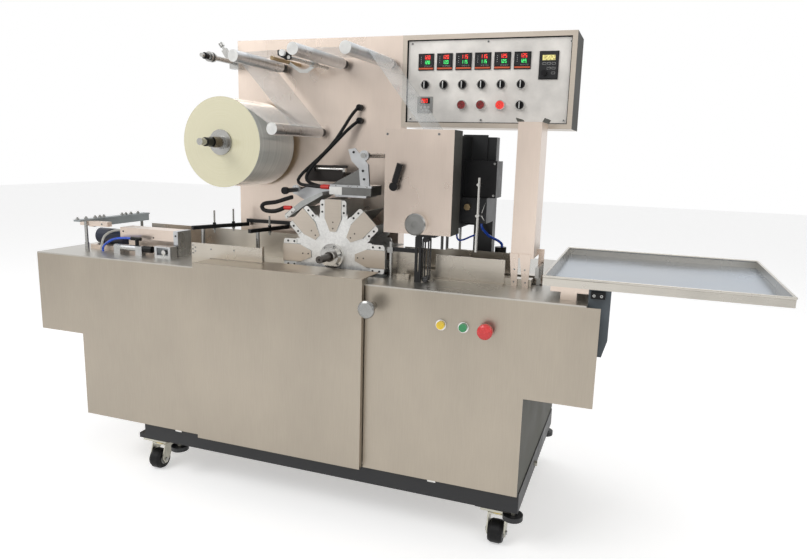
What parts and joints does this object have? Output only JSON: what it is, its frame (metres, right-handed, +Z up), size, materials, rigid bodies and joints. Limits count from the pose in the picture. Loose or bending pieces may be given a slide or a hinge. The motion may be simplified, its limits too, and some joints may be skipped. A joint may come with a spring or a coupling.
{
  "type": "cellophane wrapping machine",
  "caption": "Automatic cellophane overwrapping machine with an indexing turret, film reel, box magazine, control box and side tray on a stainless cabinet with casters.",
  "frame": {"origin": "centre of the bounding box in plan, on the floor under the wheels", "axes": "+X to the operator's right along the table, +Y from the operator's side to the back, +Z up"},
  "size_m": [2.227, 0.761, 1.42],
  "materials": {
    "brushed_panel": "brushed upright",
    "rosy_steel": "fine satin",
    "table_steel": "satin",
    "black_frame": "semi-gloss paint",
    "plate_grey": "satin",
    "black_plastic": "moulded",
    "chrome": "polished",
    "aluminium": "turned",
    "steel": "ground",
    "white_paint": "satin",
    "zinc": "zinc plate",
    "rubber": "matt",
    "film_wound": "clear film, wound",
    "film_clear": "clear film",
    "blue_hose": "gloss",
    "yellow_plastic": "gloss",
    "green_plastic": "gloss",
    "red_plastic": "gloss",
    "machine_grey": "satin paint"
  },
  "bodies": {
    "machine": {"base_frame": "black_frame", "cabinet_shell": "brushed_panel", "left_panel": "brushed_panel", "right_panel": "brushed_panel", "table_plate": "table_steel", "back_plate": "rosy_steel", "control_box": "rosy_steel", "control_plate": "plate_grey", "panel_instruments": "black_plastic", "turret_drive": "machine_grey", "film_supports": "steel", "film_web": "film_clear", "film_unit_cover": "rosy_steel", "film_unit_frame": "black_frame", "feed_belts": "rubber", "air_hoses": "blue_hose", "heater_cables": "rubber", "magazine": "rosy_steel", "infeed_guides": "rosy_steel", "tray": "table_steel", "tray_brackets": "machine_grey", "outfeed_guides": "rosy_steel", "outfeed_press": "rosy_steel", "outfeed_stand": "steel"},
    "turret": {"turret_shaft": "steel", "turret_discs": "white_paint", "turret_pockets": "rosy_steel"},
    "film_reel": {"film_roll": "film_wound", "roll_chucks": "steel"},
    "middle_cover": {"centre_cover": "brushed_panel"},
    "crank": {"crank_handle": "black_plastic"},
    "feed_dial": {"feed_knob": "aluminium"},
    "hand_wheel": {"handwheel": "chrome"},
    "speed_dial": {"inverter_knob": "black_plastic"},
    "yellow_push": {"yellow_button": "yellow_plastic"},
    "green_push": {"green_button": "green_plastic"},
    "stop_push": {"stop_button": "red_plastic"},
    "pusher_carriage": {"pusher": "steel"},
    "press_ram": {"press_rod": "steel"},
    "heater_1": {"heater_arm_1": "aluminium"},
    "heater_2": {"heater_arm_2": "aluminium"},
    "roller_1": {"guide_roller_1": "aluminium"},
    "roller_2": {"guide_roller_2": "aluminium"},
    "roller_3": {"guide_roller_3": "aluminium"},
    "roller_4": {"guide_roller_4": "aluminium"},
    "selector_switch_1": {"selector_1": "black_plastic"},
    "selector_switch_2": {"selector_2": "black_plastic"},
    "selector_switch_3": {"selector_3": "black_plastic"},
    "selector_switch_4": {"selector_4": "black_plastic"},
    "selector_switch_5": {"selector_5": "black_plastic"},
    "selector_switch_6": {"selector_6": "black_plastic"},
    "selector_switch_7": {"selector_7": "black_plastic"},
    "caster_1": {"caster_fork_1": "zinc"},
    "wheel_1": {"caster_wheel_1": "rubber"},
    "caster_2": {"caster_fork_2": "zinc"},
    "wheel_2": {"caster_wheel_2": "rubber"},
    "caster_3": {"caster_fork_3": "zinc"},
    "wheel_3": {"caster_wheel_3": "rubber"},
    "caster_4": {"caster_fork_4": "zinc"},
    "wheel_4": {"caster_wheel_4": "rubber"}
  },
  "joints": [
    {"name": "turret_spin", "type": "hinge", "parent": "machine", "child": "turret", "pos_m": [-0.0905, -0.1915, 0.768], "axis": [0, 1, 0], "continuous": true},
    {"name": "film_reel_spin", "type": "hinge", "parent": "machine", "child": "film_reel", "pos_m": [-0.4505, -0.2255, 1.091], "axis": [0, 1, 0], "continuous": true},
    {"name": "roller_1_spin", "type": "hinge", "parent": "machine", "child": "roller_1", "pos_m": [-0.3625, -0.2255, 1.332], "axis": [0, 1, 0], "continuous": true},
    {"name": "roller_2_spin", "type": "hinge", "parent": "machine", "child": "roller_2", "pos_m": [-0.1475, -0.2255, 1.34], "axis": [0, 1, 0], "continuous": true},
    {"name": "roller_3_spin", "type": "hinge", "parent": "machine", "child": "roller_3", "pos_m": [0.0105, -0.2255, 1.338], "axis": [0, 1, 0], "continuous": true},
    {"name": "roller_4_spin", "type": "hinge", "parent": "machine", "child": "roller_4", "pos_m": [-0.2235, -0.2255, 1.131], "axis": [0, 1, 0], "continuous": true},
    {"name": "crank_turn", "type": "hinge", "parent": "machine", "child": "crank", "pos_m": [0.1275, -0.2655, 0.985], "axis": [0, 1, 0], "continuous": true},
    {"name": "feed_dial_turn", "type": "hinge", "parent": "machine", "child": "feed_dial", "pos_m": [0.1945, -0.2655, 0.887], "axis": [0, 1, 0], "continuous": true},
    {"name": "hand_wheel_turn", "type": "hinge", "parent": "machine", "child": "hand_wheel", "pos_m": [0.0965, -0.3685, 0.662], "axis": [0, 1, 0], "continuous": true},
    {"name": "selector_1_turn", "type": "hinge", "parent": "machine", "child": "selector_switch_1", "pos_m": [0.1175, -0.0005, 1.277], "axis": [0, 1, 0], "range_deg": [-45, 45]},
    {"name": "selector_2_turn", "type": "hinge", "parent": "machine", "child": "selector_switch_2", "pos_m": [0.1752, -0.0005, 1.277], "axis": [0, 1, 0], "range_deg": [-45, 45]},
    {"name": "selector_3_turn", "type": "hinge", "parent": "machine", "child": "selector_switch_3", "pos_m": [0.2329, -0.0005, 1.277], "axis": [0, 1, 0], "range_deg": [-45, 45]},
    {"name": "selector_4_turn", "type": "hinge", "parent": "machine", "child": "selector_switch_4", "pos_m": [0.2906, -0.0005, 1.277], "axis": [0, 1, 0], "range_deg": [-45, 45]},
    {"name": "selector_5_turn", "type": "hinge", "parent": "machine", "child": "selector_switch_5", "pos_m": [0.3483, -0.0005, 1.277], "axis": [0, 1, 0], "range_deg": [-45, 45]},
    {"name": "selector_6_turn", "type": "hinge", "parent": "machine", "child": "selector_switch_6", "pos_m": [0.406, -0.0005, 1.277], "axis": [0, 1, 0], "range_deg": [-45, 45]},
    {"name": "selector_7_turn", "type": "hinge", "parent": "machine", "child": "selector_switch_7", "pos_m": [0.406, -0.0005, 1.219], "axis": [0, 1, 0], "range_deg": [-45, 45]},
    {"name": "speed_dial_turn", "type": "hinge", "parent": "machine", "child": "speed_dial", "pos_m": [0.4697, -0.0005, 1.307], "axis": [0, 1, 0], "range_deg": [-150, 150]},
    {"name": "yellow_press", "type": "slide", "parent": "machine", "child": "yellow_push", "axis": [0, 1, 0], "range_m": [0, 0.004], "stiffness_N_per_m": 600},
    {"name": "green_press", "type": "slide", "parent": "machine", "child": "green_push", "axis": [0, 1, 0], "range_m": [0, 0.004], "stiffness_N_per_m": 600},
    {"name": "stop_press", "type": "slide", "parent": "machine", "child": "stop_push", "axis": [0, 1, 0], "range_m": [0, 0.006], "stiffness_N_per_m": 900},
    {"name": "pusher_stroke", "type": "slide", "parent": "machine", "child": "pusher_carriage", "axis": [-1, 0, 0], "range_m": [0, 0.07]},
    {"name": "press_stroke", "type": "slide", "parent": "machine", "child": "press_ram", "axis": [1, 0, 0], "range_m": [0, 0.012]},
    {"name": "cover_pull", "type": "slide", "parent": "machine", "child": "middle_cover", "axis": [0, -1, 0], "range_m": [0, 0.12]},
    {"name": "heater_1_lift", "type": "hinge", "parent": "machine", "child": "heater_1", "pos_m": [-0.2545, -0.1165, 0.953], "axis": [0, -1, 0], "range_deg": [0, 3]},
    {"name": "heater_2_lift", "type": "hinge", "parent": "machine", "child": "heater_2", "pos_m": [-0.0075, -0.1605, 1.064], "axis": [0, 1, 0], "range_deg": [0, 3]},
    {"name": "caster_1_swivel", "type": "hinge", "parent": "machine", "child": "caster_1", "pos_m": [-0.7045, -0.2345, 0.1], "axis": [0, 0, 1], "continuous": true},
    {"name": "wheel_1_spin", "type": "hinge", "parent": "caster_1", "child": "wheel_1", "pos_m": [-0.7045, -0.2565, 0.033], "axis": [1, 0, 0], "continuous": true},
    {"name": "caster_2_swivel", "type": "hinge", "parent": "machine", "child": "caster_2", "pos_m": [0.4575, -0.2345, 0.1], "axis": [0, 0, 1], "continuous": true},
    {"name": "wheel_2_spin", "type": "hinge", "parent": "caster_2", "child": "wheel_2", "pos_m": [0.4575, -0.2565, 0.033], "axis": [1, 0, 0], "continuous": true},
    {"name": "caster_3_swivel", "type": "hinge", "parent": "machine", "child": "caster_3", "pos_m": [-0.7045, 0.2925, 0.1], "axis": [0, 0, 1], "continuous": true},
    {"name": "wheel_3_spin", "type": "hinge", "parent": "caster_3", "child": "wheel_3", "pos_m": [-0.7045, 0.2705, 0.033], "axis": [1, 0, 0], "continuous": true},
    {"name": "caster_4_swivel", "type": "hinge", "parent": "machine", "child": "caster_4", "pos_m": [0.4575, 0.2925, 0.1], "axis": [0, 0, 1], "continuous": true},
    {"name": "wheel_4_spin", "type": "hinge", "parent": "caster_4", "child": "wheel_4", "pos_m": [0.4575, 0.2705, 0.033], "axis": [1, 0, 0], "continuous": true}
  ],
  "couplings": [
    {"joint": "roller_1_spin", "follows": "film_reel_spin", "ratio": 7.9412},
    {"joint": "roller_2_spin", "follows": "film_reel_spin", "ratio": 7.9412},
    {"joint": "roller_3_spin", "follows": "film_reel_spin", "ratio": 7.9412},
    {"joint": "roller_4_spin", "follows": "film_reel_spin", "ratio": -7.9412}
  ]
}
